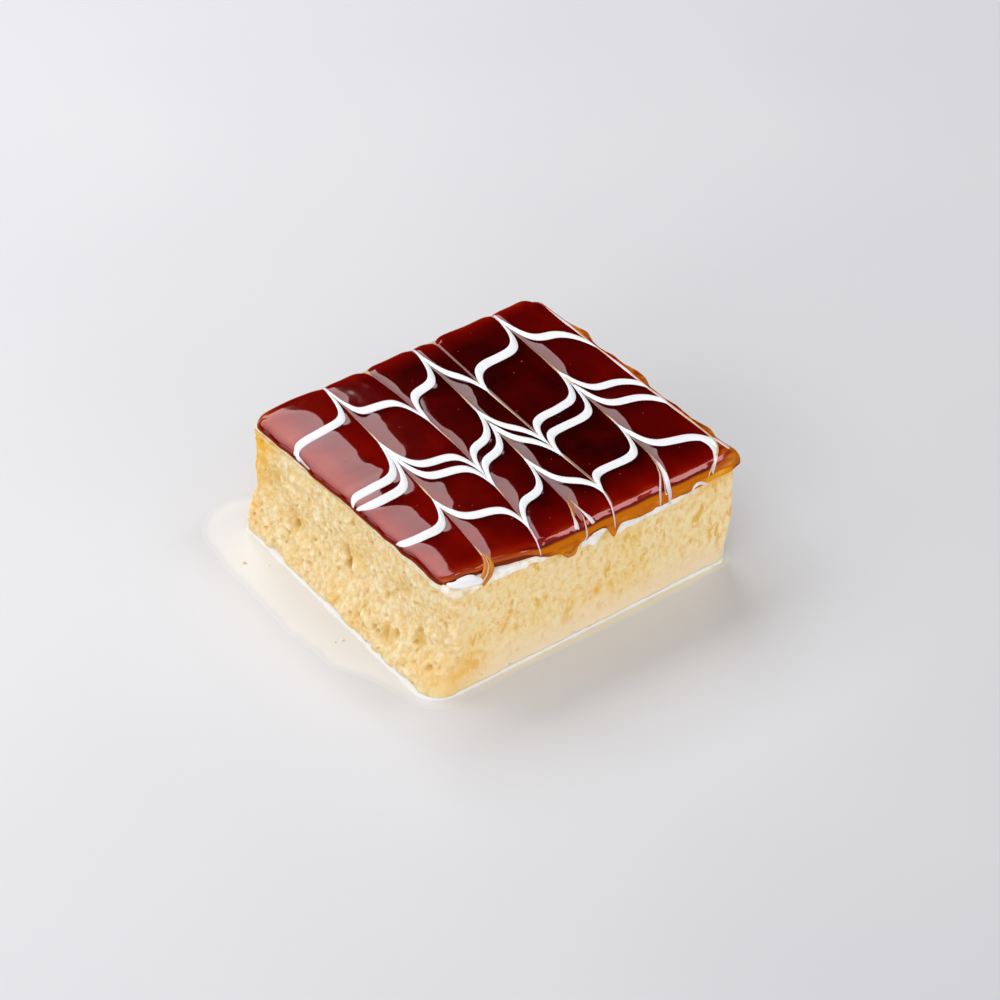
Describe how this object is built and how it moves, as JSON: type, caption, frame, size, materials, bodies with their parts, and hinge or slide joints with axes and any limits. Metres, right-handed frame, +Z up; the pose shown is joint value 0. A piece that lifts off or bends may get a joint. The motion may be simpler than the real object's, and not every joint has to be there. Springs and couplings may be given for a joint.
{
  "type": "tres leches cake slice",
  "caption": "Square slice of milk-soaked sponge cake with whipped cream, a glossy caramel glaze feathered with white icing, and milk pooled at its foot.",
  "frame": {"origin": "on the flat underside of the milk, below the middle of the sponge", "axes": "+X along the smoothly cut front face, +Y from that face to the back, +Z up"},
  "size_m": [0.1212, 0.1097, 0.0384],
  "materials": {
    "sponge": "moist open crumb",
    "whipped_cream": "soft, slightly moist",
    "caramel_glaze": "wet, glossy, clear at thin edges",
    "milk": "wet"
  },
  "bodies": {
    "root": {"sponge": "sponge", "cream_layer": "whipped_cream", "glaze": "caramel_glaze", "milk_pool": "milk"}
  },
  "joints": []
}
